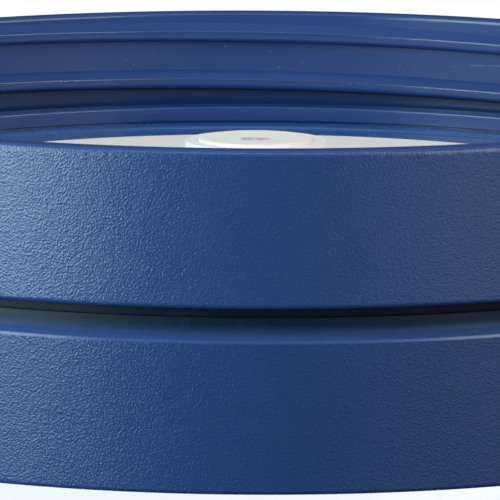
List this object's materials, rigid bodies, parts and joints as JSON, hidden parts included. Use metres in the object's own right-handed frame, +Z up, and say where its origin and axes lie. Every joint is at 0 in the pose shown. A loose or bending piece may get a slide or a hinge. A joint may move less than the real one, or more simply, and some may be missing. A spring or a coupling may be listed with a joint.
{
  "type": "bear canister",
  "caption": "Cylindrical bear-resistant food canister: clear barrel, collar in two bands with a groove between them, and a recessed screw-in lid with a white centre panel and coin locks.",
  "frame": {"origin": "centre of the underside, on the plane that the foot ring rests on", "axes": "+Z up along the barrel's axis, -Y towards the front, where lock 1 is"},
  "size_m": [0.221, 0.221, 0.32],
  "materials": {
    "navy_plastic": "moulded, fine leather grain on the outer bands, smooth elsewhere",
    "white_plastic": "satin moulded",
    "clear_polycarbonate": "clear with a faint blue tint",
    "seal_rubber": "matt moulded",
    "stainless_steel": "turned"
  },
  "bodies": {
    "canister": {"canister_shell": "clear_polycarbonate", "collar_upper": "navy_plastic", "collar_lower": "navy_plastic", "neck_gasket": "seal_rubber", "collar_screw_1": "stainless_steel", "collar_screw_2": "stainless_steel", "collar_screw_3": "stainless_steel", "collar_screw_4": "stainless_steel", "collar_screw_5": "stainless_steel", "collar_screw_6": "stainless_steel"},
    "seal": {"lid_seal": "seal_rubber"},
    "lid": {"lid_dish": "navy_plastic", "lid_panel": "white_plastic", "panel_gasket": "seal_rubber", "panel_retainer": "navy_plastic", "retainer_screw_1": "stainless_steel", "retainer_screw_2": "stainless_steel", "retainer_screw_3": "stainless_steel", "retainer_screw_4": "stainless_steel", "retainer_screw_5": "stainless_steel", "retainer_screw_6": "stainless_steel"},
    "lock_1": {"lock_barrel_1": "stainless_steel", "lock_cam_1": "stainless_steel", "lock_screw_1": "stainless_steel"},
    "lock_2": {"lock_barrel_2": "stainless_steel", "lock_cam_2": "stainless_steel", "lock_screw_2": "stainless_steel"},
    "lock_3": {"lock_barrel_3": "stainless_steel", "lock_cam_3": "stainless_steel", "lock_screw_3": "stainless_steel"}
  },
  "joints": [
    {"name": "lid_rise", "type": "slide", "parent": "canister", "child": "seal", "axis": [0, 0, 1], "range_m": [0, 0.06121]},
    {"name": "lid_turn", "type": "hinge", "parent": "seal", "child": "lid", "pos_m": [0, 0, 0.291], "axis": [0, 0, 1], "range_deg": [0, 2160]},
    {"name": "lock_turn_1", "type": "hinge", "parent": "lid", "child": "lock_1", "pos_m": [0, -0.089, 0.2845], "axis": [0, 0, -1], "range_deg": [0, 90]},
    {"name": "lock_turn_2", "type": "hinge", "parent": "lid", "child": "lock_2", "pos_m": [0.07708, 0.0445, 0.2845], "axis": [0, 0, -1], "range_deg": [0, 90]},
    {"name": "lock_turn_3", "type": "hinge", "parent": "lid", "child": "lock_3", "pos_m": [-0.07708, 0.0445, 0.2845], "axis": [0, 0, -1], "range_deg": [0, 90]}
  ],
  "couplings": [
    {"joint": "lid_rise", "follows": "lid_turn", "m_per_rad": 0.0016234}
  ]
}
